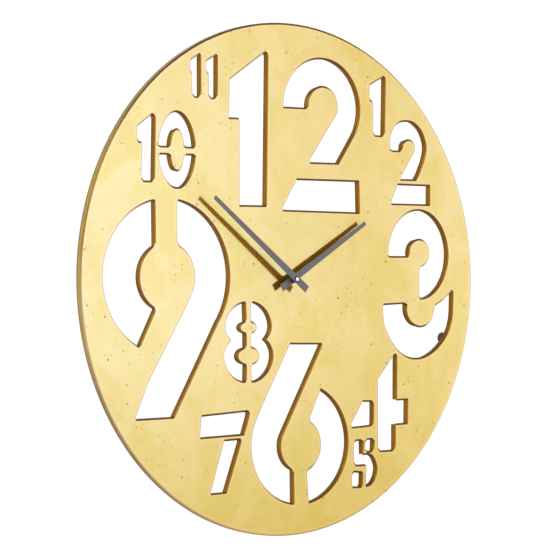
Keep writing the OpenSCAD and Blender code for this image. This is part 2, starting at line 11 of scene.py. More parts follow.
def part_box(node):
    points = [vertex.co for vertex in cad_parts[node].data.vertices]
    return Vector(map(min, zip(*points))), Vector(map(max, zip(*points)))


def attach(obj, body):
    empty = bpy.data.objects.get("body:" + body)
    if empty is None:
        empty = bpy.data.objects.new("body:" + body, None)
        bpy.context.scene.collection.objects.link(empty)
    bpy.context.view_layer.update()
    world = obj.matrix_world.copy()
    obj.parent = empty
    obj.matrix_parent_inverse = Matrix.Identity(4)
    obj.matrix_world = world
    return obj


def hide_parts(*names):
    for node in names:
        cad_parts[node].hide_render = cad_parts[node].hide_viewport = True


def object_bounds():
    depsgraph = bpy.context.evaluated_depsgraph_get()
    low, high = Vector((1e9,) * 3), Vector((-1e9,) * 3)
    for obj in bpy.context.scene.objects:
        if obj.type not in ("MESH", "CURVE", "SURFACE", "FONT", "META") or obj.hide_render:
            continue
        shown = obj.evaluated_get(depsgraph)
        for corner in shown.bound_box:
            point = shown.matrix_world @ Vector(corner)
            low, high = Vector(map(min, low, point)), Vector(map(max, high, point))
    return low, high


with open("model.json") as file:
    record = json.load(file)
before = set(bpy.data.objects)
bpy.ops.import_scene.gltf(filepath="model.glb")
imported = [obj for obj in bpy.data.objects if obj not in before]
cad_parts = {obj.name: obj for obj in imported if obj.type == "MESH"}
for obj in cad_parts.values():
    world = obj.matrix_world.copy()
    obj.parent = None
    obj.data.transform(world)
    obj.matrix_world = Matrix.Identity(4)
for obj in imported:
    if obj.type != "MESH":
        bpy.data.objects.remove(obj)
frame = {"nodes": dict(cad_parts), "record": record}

# A round wall clock: a stencil-cut brass dial on a fibreboard core, two grey hands and a
# quartz movement. Metres. The dial faces -Y, +Z is up and the wall plane is at Y = 0.

cad_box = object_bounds()
nodes = frame["nodes"]
MM = 0.001

FACE_LO, FACE_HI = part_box("brass_face")
FACE_Y = FACE_LO.y
CORE_LO, CORE_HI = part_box("dial_core")
BACK_Y = CORE_HI.y
DIAL_R = (FACE_HI.x - FACE_LO.x) / 2
RIM_R = max(DIAL_R, FACE_HI.z)

# Rolled edge of the brass sheet, which stands a little into each cut-out
ROLL_R = 0.9 * MM
ROLL_ANGLES = (20, 40, 65, 90)
LIP_DEPTH = 1.1 * MM
LIP_PROUD = 1.2 * MM
LIP_CLEAR = 0.97 * LIP_PROUD
EDGE_STEP = 4 * MM
RING_REACHES = (1.4 * MM, 1.9 * MM, 3.0 * MM, 5.2 * MM)

# Values kept at the sheet's points: distance from the nearest edge, up to EDGE_REACH, and
# how far that edge faces +X
EDGE_NAME = "edge_gap"
SIDE_NAME = "edge_side"
EDGE_REACH = 6 * MM

# Painted shade (a dark line) and painted highlight (a pale band) along the edges of the brass, as distances
# from the edge
EDGE_SHADE_FULL, EDGE_SHADE_END = 2.0 * MM, 2.7 * MM
EDGE_SHADE_WANDER = 0.15 * MM
EDGE_SHADE_TRIM = 0.6 * MM
EDGE_HIGHLIGHT_FULL, EDGE_HIGHLIGHT_END = 2.2 * MM, 5.8 * MM

# Mesh building
MERGE = 1e-7
SAME_PLACE = 1e-6
PLACES = 6
CHUNK = 500
AXIS_R = 0.001 * MM

# Brightness of the surroundings in front of the clock, behind it, and straight above and below
FRONT_LEVEL, REAR_LEVEL, CAP_LEVEL = 1.25, 1.04, 0.36


# ---------------------------------------------------------------- node material helpers

class Mat:
    """A node material, with short calls for the nodes that the surfaces here share."""

    def __init__(self, name):
        self.material = bpy.data.materials.new(name)
        self.material.use_nodes = True
        self.tree = self.material.node_tree
        self.tree.nodes.clear()
        self.output = self.tree.nodes.new("ShaderNodeOutputMaterial")
        coordinates = self.tree.nodes.new("ShaderNodeTexCoord")
        self.place = coordinates.outputs["Object"]
        self.place_normal = coordinates.outputs["Normal"]

    def node(self, kind, inputs=None, **settings):
        n = self.tree.nodes.new(kind)
        for key, value in settings.items():
            setattr(n, key, value)
        for key, value in (inputs or {}).items():
            self.put(n.inputs[key], value)
        return n

    def put(self, socket, value):
        if isinstance(value, bpy.types.NodeSocket):
            self.tree.links.new(value, socket)
        elif isinstance(value, (tuple, list)) and len(value) == 3 and socket.type == "RGBA":
            socket.default_value = (*value, 1)
        else:
            socket.default_value = value

    def scaled(self, factors):
        return self.node("ShaderNodeMapping", {"Vector": self.place, "Scale": factors}).outputs[0]

    def noise(self, scale, detail=4, roughness=0.55, where=None, distortion=0):
        n = self.node("ShaderNodeTexNoise", {"Vector": where or self.place, "Scale": scale,
            "Detail": detail, "Roughness": roughness, "Distortion": distortion})
        return n.outputs["Fac"]

    def flat(self):
        """Coordinates in the plane of the dial."""
        place = self.node("ShaderNodeSeparateXYZ", {0: self.place})
        return self.node("ShaderNodeCombineXYZ", {0: place.outputs["X"], 1: place.outputs["Z"]}).outputs[0]

    def spots(self, scale, radius, where):
        """Small round spots, one to a cell and of unequal strength, on a flat surface."""
        n = self.node("ShaderNodeTexVoronoi", {"Vector": where, "Scale": scale}, voronoi_dimensions="2D")
        strength = self.node("ShaderNodeSeparateXYZ", {0: n.outputs["Color"]}).outputs["X"]
        spot = self.remap(n.outputs["Distance"], radius * 0.4, radius, 1, 0)
        return self.math("MULTIPLY", spot, self.remap(strength, 0.45, 0.9))

    def math(self, operation, a, b=0.0, clamp=False):
        n = self.node("ShaderNodeMath", operation=operation, use_clamp=clamp)
        self.put(n.inputs[0], a)
        self.put(n.inputs[1], b)
        return n.outputs[0]

    def remap(self, value, low, high, to_low=0.0, to_high=1.0):
        n = self.node("ShaderNodeMapRange", {"Value": value, "From Min": low, "From Max": high,
            "To Min": to_low, "To Max": to_high}, clamp=True)
        return n.outputs[0]

    def mix(self, factor, a, b, blend="MIX"):
        n = self.node("ShaderNodeMix", data_type="RGBA", blend_type=blend)
        self.put(n.inputs[0], factor)
        self.put(n.inputs[6], a)
        self.put(n.inputs[7], b)
        return n.outputs[2]

    def axis(self, name):
        return self.node("ShaderNodeSeparateXYZ", {0: self.place}).outputs[name]

    def bump(self, height, strength, distance, normal=None):
        n = self.node("ShaderNodeBump", {"Height": height, "Strength": strength, "Distance": distance})
        if normal is not None:
            self.put(n.inputs["Normal"], normal)
        return n.outputs[0]

    def principled(self, **inputs):
        names = {key.replace("_", " ").title(): value for key, value in inputs.items()}
        names = {key.replace("Ior", "IOR"): value for key, value in names.items()}
        return self.node("ShaderNodeBsdfPrincipled", names).outputs[0]

    def finish(self, shader):
        self.tree.links.new(shader, self.output.inputs["Surface"])
        return self.material


# ---------------------------------------------------------------- materials

def brass_marks(m, flat):
    """Specks and small pits in the lacquer, thicker in some places than in others."""
    crowded = m.remap(m.noise(9, 3, 0.6, flat), 0.42, 0.58, 0.25, 1)
    specks = m.math("MULTIPLY", m.spots(38, 0.07, flat), crowded)
    pitted = m.remap(m.noise(15, 3, 0.6, flat), 0.50, 0.62)
    pits = m.math("MULTIPLY", m.spots(120, 0.16, flat), pitted)
    return m.math("MAXIMUM", specks, m.math("MULTIPLY", pits, 0.8))


def painted_edge_shade(m, flat, gap, side, smudge):
    """Painted shade along an edge, as a dark line: wide on level edges, faint on +X ones and on the low
    rim.
    """
    wander = m.remap(smudge, 0.3, 0.7, -EDGE_SHADE_WANDER, EDGE_SHADE_WANDER)
    trim = m.remap(m.math("ABSOLUTE", side), 0.4, 0.9, 0, EDGE_SHADE_TRIM)
    reach = m.math("ADD", m.math("ADD", gap, wander), trim)
    shut = m.remap(side, 0.25, 0.75, 1, 0.3)
    edge_shade = m.math("MULTIPLY", m.remap(reach, EDGE_SHADE_FULL, EDGE_SHADE_END, 0.95, 0), shut)
    radius = m.node("ShaderNodeVectorMath", {0: flat}, operation="LENGTH").outputs["Value"]
    low = m.remap(m.axis("Z"), -0.5 * DIAL_R, 0.17 * DIAL_R, 0.75, 0)
    low_rim = m.math("MULTIPLY", m.remap(radius, 0.98 * DIAL_R, 0.99 * DIAL_R), low)
    return m.math("MULTIPLY", edge_shade, m.math("SUBTRACT", 1, low_rim))


def painted_reflection_tint(m):
    """Painted reflection of the surroundings, as a tint in the brass: palest at the left of the dial and
    most amber at the bottom.
    """
    across, height = m.axis("X"), m.axis("Z")
    left = m.remap(across, -0.7 * DIAL_R, 0.33 * DIAL_R, 1, 0.47)
    right = m.remap(across, 0.4 * DIAL_R, 1.2 * DIAL_R, 0, 0.3)
    low = m.remap(height, -1.2 * DIAL_R, -0.2 * DIAL_R)
    high = m.remap(height, 0.4 * DIAL_R, 1.2 * DIAL_R, 1, 0.8)
    pale = m.math("MULTIPLY", m.math("MULTIPLY", m.math("ADD", left, right), low), high)
    return m.mix(pale, (0.71, 0.605, 0.31), (0.925, 0.96, 1.09))


def lacquered_brass(name):
    """Polished brass under aged lacquer: an amber body, a pale mirror, a painted reflection of the
    surroundings in its tint, painted shade along the rolled edges and a painted highlight beside them.
    """
    m = Mat(name)
    flat = m.flat()
    cloud = m.remap(m.noise(6, 5, 0.6, flat), 0.3, 0.7)
    patch = m.remap(m.noise(11, 4, 0.6, flat, distortion=0.8), 0.44, 0.58, 0, 0.9)
    smudge = m.noise(34, 4, 0.6, flat, distortion=0.6)
    stretched = m.node("ShaderNodeMapping", {"Vector": flat, "Scale": (90, 16, 1)}).outputs[0]
    streak = m.noise(1, 3, 0.6, stretched)
    marks = brass_marks(m, flat)
    gap = m.node("ShaderNodeAttribute", attribute_name=EDGE_NAME).outputs["Fac"]
    side = m.node("ShaderNodeAttribute", attribute_name=SIDE_NAME).outputs["Fac"]
    # Painted shade: a dark line along each edge of the sheet
    edge_shade = painted_edge_shade(m, flat, gap, side, smudge)
    # Painted light: the painted edge shade is lighter on edges that face -X
    lit = m.remap(side, -0.9, -0.5, 1, 0)
    # Painted highlight: a pale band in the mirror colour beside each edge
    edge_highlight = m.remap(gap, EDGE_HIGHLIGHT_FULL, EDGE_HIGHLIGHT_END, 0.7, 0)
    reflection_tint = painted_reflection_tint(m)
    marked = m.math("MULTIPLY", marks, 0.8)

    body = m.mix(cloud, (0.90, 0.33, 0.0), (0.98, 0.36, 0.004))
    # Painted reflection: the tint multiplies the body colour
    body = m.mix(1, body, reflection_tint, "MULTIPLY")
    body = m.mix(marked, body, (0.10, 0.04, 0.005))
    # Painted shade along the edges, in the body colour
    body = m.mix(edge_shade, body, m.mix(lit, (0.11, 0.036, 0.001), (0.28, 0.11, 0.002)))

    mirror = m.mix(cloud, (0.80, 0.89, 0.41), (0.90, 0.97, 0.55))
    mirror = m.mix(patch, mirror, (0.75, 0.83, 0.31))
    mirror = m.mix(m.remap(smudge, 0.45, 0.8, 0, 0.4), mirror, (0.76, 0.78, 0.34))
    mirror = m.mix(m.remap(streak, 0.4, 0.75, 0, 0.25), mirror, (1.0, 1.0, 0.66))
    # Painted highlight beside the edges
    mirror = m.mix(edge_highlight, mirror, (1.0, 0.95, 0.66))
    # Painted reflection: the tint multiplies the mirror colour
    mirror = m.mix(1, mirror, reflection_tint, "MULTIPLY")
    mirror = m.mix(marked, mirror, (0.25, 0.17, 0.05))
    # Painted shade along the edges, in the mirror colour
    mirror = m.mix(edge_shade, mirror, m.mix(lit, (0.10, 0.037, 0.001), (0.28, 0.135, 0.006)))

    rough = m.math("ADD", m.remap(smudge, 0.3, 0.75, 0.07, 0.15), m.remap(marks, 0, 1, 0, 0.3))
    relief = m.bump(m.noise(13, 3, 0.5, flat), 0.34, 0.0015)
    relief = m.bump(m.noise(300, 3, 0.6, flat), 0.008, 0.0003, relief)
    relief = m.bump(marks, -0.4, 0.0004, relief)
    satin = m.principled(base_color=body, metallic=1.0, roughness=0.5, normal=relief)
    gloss = m.principled(base_color=mirror, metallic=1.0, roughness=rough, normal=relief)
    both = m.node("ShaderNodeMixShader", {0: 0.66, 1: satin, 2: gloss}).outputs[0]
    return m.finish(both)


def darker_rim_brass(name):
    """The rim strip: brass darker and browner than the face, a painted shade for the dimmer surroundings it
    mirrors, and darkest along the back edge.
    """
    m = Mat(name)
    back = m.remap(m.axis("Y"), BACK_Y - 3.2 * MM, BACK_Y - 0.4 * MM)
    wear = m.remap(m.noise(48, 4, 0.65), 0.3, 0.72)
    # Painted shade: the strip is a darker, browner copy of the face's brass
    color = m.mix(wear, (0.40, 0.27, 0.075), (0.52, 0.36, 0.11))
    color = m.mix(back, color, (0.20, 0.14, 0.06))
    rough = m.remap(m.noise(160, 3, 0.6), 0.3, 0.7, 0.32, 0.48)
    return m.finish(m.principled(base_color=color, metallic=1.0, roughness=rough,
        normal=m.bump(m.noise(600, 3), 0.12, 0.0002)))


def cut_edge_board(name):
    """Fibreboard: raw fibres on the back, golden-brown varnish in the cut-outs, and painted shade towards
    the back edge of the cut-out walls.
    """
    m = Mat(name)
    depth = m.axis("Y")
    fibre = m.noise(900, 4, 0.65, m.scaled((1, 1, 0.55)))
    blotch = m.remap(m.noise(28, 4, 0.6), 0.3, 0.7)
    varnish = m.mix(blotch, (0.21, 0.083, 0.0), (0.32, 0.15, 0.004))
    # Painted shade: the varnish darkens towards the back edge of the walls
    edge = m.remap(depth, BACK_Y - 1.6 * MM, BACK_Y - 0.5 * MM)
    varnish = m.mix(edge, varnish, (0.11, 0.045, 0.004))
    raw = m.mix(m.remap(fibre, 0.3, 0.7), (0.19, 0.105, 0.052), (0.33, 0.20, 0.105))
    raw = m.mix(m.remap(m.noise(14, 4, 0.6), 0.35, 0.75, 0, 0.4), raw, (0.16, 0.085, 0.04))
    on_back = m.remap(depth, BACK_Y - 0.12 * MM, BACK_Y - 0.04 * MM)
    color = m.mix(on_back, varnish, raw)
    rough = m.remap(on_back, 0, 1, 0.42, 0.85)
    sheen = m.remap(on_back, 0, 1, 0.75, 0)
    return m.finish(m.principled(base_color=color, metallic=sheen, roughness=rough,
        specular_ior_level=0.15, normal=m.bump(fibre, 0.3, 0.0003)))


def painted(name, low, high, rough=0.5, grain=900, strength=0.12, metallic=0.0, coat=0.0):
    """Paint or moulded plastic with a fine grain and slight tone changes."""
    m = Mat(name)
    tone = m.remap(m.noise(45, 4, 0.6), 0.3, 0.7)
    fine = m.noise(grain, 3, 0.6)
    color = m.mix(tone, low, high)
    worn = m.remap(m.noise(160, 3, 0.6), 0.3, 0.75, rough - 0.07, rough + 0.1)
    return m.finish(m.principled(base_color=color, metallic=metallic, roughness=worn,
        normal=m.bump(fine, strength, 0.0002), coat_weight=coat, coat_roughness=0.2))


def grey_paint_shaded_back(name):
    """Hand paint: matt warm grey in front and on the edges; the back is black, a painted shade for the
    backs of the hands, which lie in shadow and show dark in the brass's reflection.
    """
    m = Mat(name)
    facing = m.node("ShaderNodeSeparateXYZ", {0: m.place_normal}).outputs["Y"]
    tone = m.remap(m.noise(60, 4, 0.6), 0.3, 0.7)
    grey = m.mix(tone, (0.100, 0.094, 0.101), (0.128, 0.120, 0.128))
    # Painted shade: black on the faces that point to the back
    color = m.mix(m.remap(facing, 0.3, 0.7), grey, (0.012, 0.009, 0.006))
    rough = m.remap(m.noise(240, 3, 0.6), 0.3, 0.7, 0.42, 0.56)
    return m.finish(m.principled(base_color=color, roughness=rough,
        normal=m.bump(m.noise(1500, 3), 0.1, 0.0002)))


def brushed(name, low, high, rough=0.3, stretch=(40, 2200, 2200), plated=0.0):
    """Stamped or plated metal: fine brush lines, cloudy plating and a few dull spots."""
    m = Mat(name)
    lines = m.noise(1, 3, 0.6, m.scaled(stretch))
    cloud = m.remap(m.noise(70, 4, 0.6), 0.35, 0.7)
    color = m.mix(cloud, low, high)
    color = m.mix(m.remap(m.noise(260, 3, 0.6), 0.66, 0.8, 0, plated), color, (0.62, 0.52, 0.30))
    worn = m.math("ADD", m.remap(lines, 0.3, 0.7, -0.06, 0.08), m.remap(cloud, 0, 1, rough, rough + 0.08))
    return m.finish(m.principled(base_color=color, metallic=1.0, roughness=worn,
        normal=m.bump(lines, 0.12, 0.00005)))


def wound_wire(name):
    """Enamelled copper wire: close turns along X with a little colour variation."""
    m = Mat(name)
    wave = {"Vector": m.place, "Scale": 1300, "Distortion": 0.4, "Detail": 1}
    turns = m.node("ShaderNodeTexWave", wave, wave_type="BANDS", bands_direction="X").outputs["Fac"]
    color = m.mix(turns, (0.20, 0.05, 0.015), (0.62, 0.24, 0.08))
    return m.finish(m.principled(base_color=color, metallic=0.8, roughness=0.3,
        normal=m.bump(turns, 0.6, 0.0002), coat_weight=0.5, coat_roughness=0.15))


def board_laminate(name):
    """Green circuit board with copper tracks under the resist."""
    m = Mat(name)
    bricks = {"Vector": m.place, "Scale": 260, "Mortar Size": 0.06}
    tracks = m.node("ShaderNodeTexBrick", bricks).outputs["Fac"]
    color = m.mix(tracks, (0.012, 0.12, 0.035), (0.05, 0.24, 0.07))
    color = m.mix(m.remap(m.noise(300, 3), 0.6, 0.8, 0, 0.3), color, (0.02, 0.06, 0.02))
    return m.finish(m.principled(base_color=color, roughness=0.35, normal=m.bump(tracks, 0.3, 0.0001),
        coat_weight=0.6, coat_roughness=0.1))


def rubber(name, clean, dusty):
    """Matt rubber with dust in its grain."""
    m = Mat(name)
    dust = m.remap(m.noise(210, 4, 0.7), 0.4, 0.8)
    color = m.mix(dust, clean, dusty)
    return m.finish(m.principled(base_color=color, roughness=m.remap(dust, 0, 1, 0.62, 0.85),
        specular_ior_level=0.2, normal=m.bump(m.noise(1200, 3), 0.25, 0.0002)))


def cell_jacket(name, lo, hi):
    """A plain battery: green jacket, a broad gold band at the positive end, steel ends."""
    m = Mat(name)
    along = m.remap(m.axis("X"), lo, hi)
    print_grain = m.noise(700, 3, 0.6)
    green = m.mix(m.remap(print_grain, 0.3, 0.7), (0.010, 0.065, 0.030), (0.016, 0.095, 0.045))
    gold = m.mix(m.remap(print_grain, 0.3, 0.7), (0.50, 0.27, 0.06), (0.62, 0.36, 0.09))
    line_start, band_start = 0.70, 0.72
    band = m.math("GREATER_THAN", along, band_start)
    past_line_start = m.math("GREATER_THAN", along, line_start)
    line = m.math("MULTIPLY", past_line_start, m.math("LESS_THAN", along, band_start))
    color = m.mix(band, green, gold)
    color = m.mix(line, color, (0.6, 0.6, 0.58))
    scuff = m.remap(m.noise(90, 4, 0.7, m.scaled((0.3, 1, 1))), 0.55, 0.8, 0.22, 0.42)
    return m.finish(m.principled(base_color=color, metallic=m.remap(band, 0, 1, 0.05, 0.6), roughness=scuff,
        normal=m.bump(print_grain, 0.05, 0.0001), coat_weight=0.4, coat_roughness=0.12))


BRASS = lacquered_brass("brass_sheet")
RIM = darker_rim_brass("brass_rim")
BOARD = cut_edge_board("fibreboard")
STEEL = brushed("plated_steel", (0.52, 0.53, 0.54), (0.68, 0.68, 0.67), 0.3, plated=0.25)
TURNED = brushed("turned_brass", (0.62, 0.42, 0.14), (0.80, 0.60, 0.26), 0.24, (2200, 60, 2200))
IRON = brushed("motor_iron", (0.24, 0.25, 0.26), (0.38, 0.38, 0.39), 0.38)
SPRING = brushed("contact_spring", (0.60, 0.60, 0.58), (0.76, 0.75, 0.72), 0.25)
POLISHED = brushed("polished_steel", (0.93, 0.87, 0.86), (0.98, 0.93, 0.92), 0.2, (900, 60, 900))
CAN = brushed("crystal_can", (0.60, 0.60, 0.61), (0.74, 0.74, 0.74), 0.2)
HAND = grey_paint_shaded_back("hand_paint")
HUB = painted("hub_black", (0.008, 0.007, 0.006), (0.018, 0.016, 0.014), 0.55, 900, 0.08)
CASE = painted("case_plastic", (0.018, 0.018, 0.019), (0.034, 0.034, 0.036), 0.46, 1400, 0.45)
KNOB = painted("knob_plastic", (0.012, 0.012, 0.012), (0.026, 0.026, 0.027), 0.40, 1400, 0.3)
PLATE = painted("plate_plastic", (0.60, 0.59, 0.52), (0.72, 0.71, 0.64), 0.42, 1200, 0.15)
GEAR = painted("gear_plastic", (0.66, 0.63, 0.55), (0.78, 0.76, 0.69), 0.36, 1100, 0.12)
BOBBIN = painted("bobbin_plastic", (0.72, 0.72, 0.68), (0.84, 0.83, 0.80), 0.4, 1100, 0.12)
CHIP = painted("chip_epoxy", (0.008, 0.008, 0.008), (0.02, 0.02, 0.02), 0.5, 1600, 0.3)
MAGNET = painted("magnet", (0.05, 0.05, 0.052), (0.10, 0.10, 0.105), 0.5, 1600, 0.35, metallic=0.6)
RUBBER = rubber("bumper_rubber", (0.085, 0.062, 0.034), (0.16, 0.12, 0.07))
GASKET = rubber("gasket_rubber", (0.018, 0.016, 0.014), (0.06, 0.054, 0.046))
WIRE = wound_wire("enamelled_copper")
LAMINATE = board_laminate("board_laminate")
BATTERY_LO, BATTERY_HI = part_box("battery")
JACKET = cell_jacket("battery_jacket", BATTERY_LO.x, BATTERY_HI.x)

FINISH = {
    "fibreboard": BOARD, "brass_sheet": BRASS, "plated_steel": STEEL, "bumper_rubber": RUBBER,
    "gasket_rubber": GASKET, "turned_brass": TURNED, "case_plastic": CASE, "plate_plastic": PLATE,
    "motor_iron": IRON, "bobbin_plastic": BOBBIN, "enamelled_copper": WIRE, "board_laminate": LAMINATE,
    "crystal_can": CAN, "chip_epoxy": CHIP, "contact_spring": SPRING, "magnet": MAGNET,
    "gear_plastic": GEAR, "hub_black": HUB, "hand_paint": HAND, "polished_steel": POLISHED,
    "knob_plastic": KNOB, "battery_jacket": JACKET,
}
# Pieces that differ from the rest of their slot
OWN_FINISH = {"hour_wheel": HUB, "brass_rim_band": RIM}


# ---------------------------------------------------------------- mesh helpers

def new_object(name, verts, faces, material, smooth_angle=30, values=None):
    """A mesh object, smooth except at sharp edges, with optional values kept at its points."""
    mesh = bpy.data.meshes.new(name)
    mesh.from_pydata([tuple(v) for v in verts], [], faces)
    for key, data in (values or {}).items():
        mesh.attributes.new(key, "FLOAT", "POINT").data.foreach_set("value", data)
    mesh.validate()
    bm = bmesh.new()
    bm.from_mesh(mesh)
    bmesh.ops.remove_doubles(bm, verts=bm.verts, dist=MERGE)
    bmesh.ops.recalc_face_normals(bm, faces=bm.faces)
    for f in bm.faces:
        f.smooth = True
    for e in bm.edges:
        if len(e.link_faces) == 2 and e.calc_face_angle(0) > math.radians(smooth_angle):
            e.smooth = False
    bm.to_mesh(mesh)
    bm.free()
    mesh.materials.append(material)
    obj = bpy.data.objects.new(name, mesh)
    bpy.context.scene.collection.objects.link(obj)
    return obj


def lathe(name, profile, centre, material, direction="Y", steps=96):
    """A turned solid: profile holds (radius, distance along the axis) from axis to axis."""
    verts, faces = [], []
    for r, t in profile:
        for i in range(steps):
            a = 2 * math.pi * i / steps
            u, v = r * math.cos(a), r * math.sin(a)
            verts.append((u, t, v) if direction == "Y" else (t, u, v))
    for k in range(len(profile) - 1):
        for i in range(steps):
            j = (i + 1) % steps
            faces.append((k * steps + i, k * steps + j, (k + 1) * steps + j, (k + 1) * steps + i))
    faces.append(tuple(range(steps)))
    faces.append(tuple((len(profile) - 1) * steps + i for i in range(steps)))
    obj = new_object(name, verts, faces, material)
    obj.data.transform(Matrix.Translation(Vector(centre)))
    return obj


def quarter(r0, t0, radius, start, end, steps=6):
    """Points of a rounded corner in a lathe profile, centred at (r0, t0)."""
    return [(r0 + radius * math.cos(a), t0 + radius * math.sin(a))
        for a in np.radians(np.linspace(start, end, steps + 1))]


# ---------------------------------------------------------------- outlines of the dial

def face_loops(obj, y):
    """The closed outlines of the flat face that a CAD mesh has at this Y, as (x, z) arrays."""
    def key(v):
        return round(v.co.x, PLACES), round(v.co.z, PLACES)

    count = {}
    for poly in obj.data.polygons:
        vs = [obj.data.vertices[i] for i in poly.vertices]
        if all(abs(v.co.y - y) < SAME_PLACE for v in vs):
            keys = [key(v) for v in vs]
            for a, b in zip(keys, keys[1:] + keys[:1]):
                if a != b:
                    pair = frozenset((a, b))
                    count[pair] = count.get(pair, 0) + 1
    links = {}
    for pair, n in count.items():
        if n == 1:
            a, b = tuple(pair)
            links.setdefault(a, []).append(b)
            links.setdefault(b, []).append(a)
    loops, used = [], set()
    for start in sorted(links):
        if start in used:
            continue
        loop, here, before = [start], links[start][0], start
        used.add(start)
        while here != start:
            loop.append(here)
            used.add(here)
            ahead = [p for p in links[here] if p != before]
            before, here = here, ahead[0]
        loops.append(np.array(loop, float))
    return loops


def signed_area(p):
    """Area inside an outline, positive when it runs anticlockwise."""
    q = np.roll(p, -1, axis=0)
    return 0.5 * np.sum(p[:, 0] * q[:, 1] - q[:, 0] * p[:, 1])


def with_step(p, step):
    """The same closed outline with no edge longer than step."""
    out = []
    for a, b in zip(p, np.roll(p, -1, axis=0)):
        n = max(1, math.ceil(np.linalg.norm(b - a) / step))
        out += [a + (b - a) * i / n for i in range(n)]
    return np.array(out)


def material_normals(p):
    """Unit vectors at each point, to the left of the way round, where the material is."""
    ahead = np.roll(p, -1, axis=0) - p
    ahead /= np.linalg.norm(ahead, axis=1)[:, None]
    mean = ahead + np.roll(ahead, 1, axis=0)
    mean /= np.linalg.norm(mean, axis=1)[:, None]
    return np.stack([-mean[:, 1], mean[:, 0]], axis=1)


def nearest_edge(points, loops):
    """Distance from each point to the nearest outline, and how far that edge faces +X."""
    a = np.concatenate(loops)
    b = np.concatenate([np.roll(p, -1, axis=0) for p in loops])
    d = b - a
    length2 = np.sum(d * d, axis=1)
    facing = d[:, 1] / np.sqrt(length2)
    distance = np.empty(len(points))
    side = np.empty(len(points))
    for i in range(0, len(points), CHUNK):
        v = points[i:i + CHUNK, None, :] - a[None]
        t = np.clip(np.sum(v * d, axis=2) / length2, 0, 1)
        gap = v - t[:, :, None] * d
        gap2 = np.sum(gap * gap, axis=2)
        nearest = np.argmin(gap2, axis=1)
        distance[i:i + CHUNK] = np.sqrt(gap2[np.arange(len(nearest)), nearest])
        side[i:i + CHUNK] = facing[nearest]
    return distance, side


def inside(points, loops):
    """True where a point has material, by counting outline crossings."""
    a = np.concatenate(loops)
    b = np.concatenate([np.roll(p, -1, axis=0) for p in loops])
    result = np.empty(len(points), bool)
    rise = b[:, 1] - a[:, 1]
    slope = (b[:, 0] - a[:, 0]) / np.where(rise == 0, 1, rise)
    for i in range(0, len(points), CHUNK):
        x, z = points[i:i + CHUNK, 0, None], points[i:i + CHUNK, 1, None]
        spans = (a[:, 1] > z) != (b[:, 1] > z)
        cross = a[:, 0] + (z - a[:, 1]) * slope
        result[i:i + CHUNK] = np.sum(spans & (x < cross), axis=1) % 2 == 1
    return result


def triangulate(loops, extra):
    """Points and triangles that fill the material, and where each given point ended up."""
    points = np.concatenate([*loops, extra]) if len(extra) else np.concatenate(loops)
    edges, start = [], 0
    for p in loops:
        n = len(p)
        edges += [(start + i, start + (i + 1) % n) for i in range(n)]
        start += n
    places, _, faces, origins, *_ = delaunay_2d_cdt([Vector(p) for p in points], edges, [], 0, MERGE)
    verts = np.array([tuple(v) for v in places])
    tris = np.array(faces)
    keep = inside(verts[tris].mean(axis=1), loops)
    index = {}
    for i, sources in enumerate(origins):
        for source in sources:
            index[source] = i
    return verts, tris[keep], index


def rolled_sheet(name, loops, rim_index):
    """The brass face: flat in front, rolled into every cut-out and round the rim."""
    outlines = []
    for i, p in enumerate(loops):
        wanted = 1 if i == rim_index else -1
        p = p if signed_area(p) * wanted > 0 else p[::-1]
        p = with_step(p, EDGE_STEP)
        proud = 0 if i == rim_index else LIP_PROUD
        lip = p - material_normals(p) * proud
        clear = nearest_edge(lip, [p])[0] > LIP_CLEAR
        outlines.append(lip[clear] if proud else p)
    rings = []
    for angle in ROLL_ANGLES:
        reach = ROLL_R * (1 - math.cos(math.radians(angle)))
        rings += [p + material_normals(p) * reach for p in outlines]
    for reach in RING_REACHES:
        rings += [p + material_normals(p) * reach for p in outlines]
    verts, tris, over = triangulate(outlines, np.concatenate(rings))
    gap, side = nearest_edge(verts, outlines)
    rest = ROLL_R - np.minimum(gap, ROLL_R)
    depth = ROLL_R - np.sqrt(ROLL_R ** 2 - rest ** 2)
    front = [(x, FACE_Y + d, z) for (x, z), d in zip(verts, depth)]
    faces = [tuple(t) for t in tris]
    back_verts, back_tris, under = triangulate(outlines, np.zeros((0, 2)))
    base = len(front)
    back = [(x, FACE_Y + LIP_DEPTH, z) for x, z in back_verts]
    faces += [tuple(base + i for i in t[::-1]) for t in back_tris]
    start = 0
    for p in outlines:
        for i in range(len(p)):
            a, b = start + i, start + (i + 1) % len(p)
            faces.append((over[a], over[b], base + under[b], base + under[a]))
        start += len(p)
    gaps = np.concatenate([np.minimum(gap, EDGE_REACH), np.zeros(len(back))])
    sides = np.concatenate([side, nearest_edge(back_verts, outlines)[1]])
    return new_object(name, front + back, faces, BRASS, 40, {EDGE_NAME: gaps, SIDE_NAME: sides})


# ---------------------------------------------------------------- pieces

def dress_cad_nodes():
    """Every CAD node gets its finish, and small bevels where an edge would catch the light."""
    slots = {s["node"]: s["material_slot"] for s in frame["record"]["subparts"]}
    bevels = {
        "hour_hand": 0.14, "minute_hand": 0.14, "minute_hub": 0.2, "hour_collet": 0.2,
        "front_case": 0.3, "rear_cover": 0.25, "setting_knob": 0.2, "hanger_plate": 0.2,
        "movement_bracket": 0.2, "bush_nut": 0.15, "hanger_screws": 0.12, "bumper_screws": 0.12,
        "bracket_screws": 0.12, "cover_screws": 0.08, "battery_contact_plus": 0.05,
        "battery_contact_minus": 0.05,
    }
    for name, obj in nodes.items():
        obj.data.materials.clear()
        obj.data.materials.append(OWN_FINISH.get(name, FINISH[slots[name]]))
        if name in bevels:
            weld = obj.modifiers.new("weld", "WELD")
            weld.merge_threshold = SAME_PLACE
            bevel = obj.modifiers.new("bevel", "BEVEL")
            bevel.width = bevels[name] * MM
            bevel.segments = 2
            bevel.limit_method = "ANGLE"
            bevel.angle_limit = math.radians(50)
            bevel.harden_normals = False


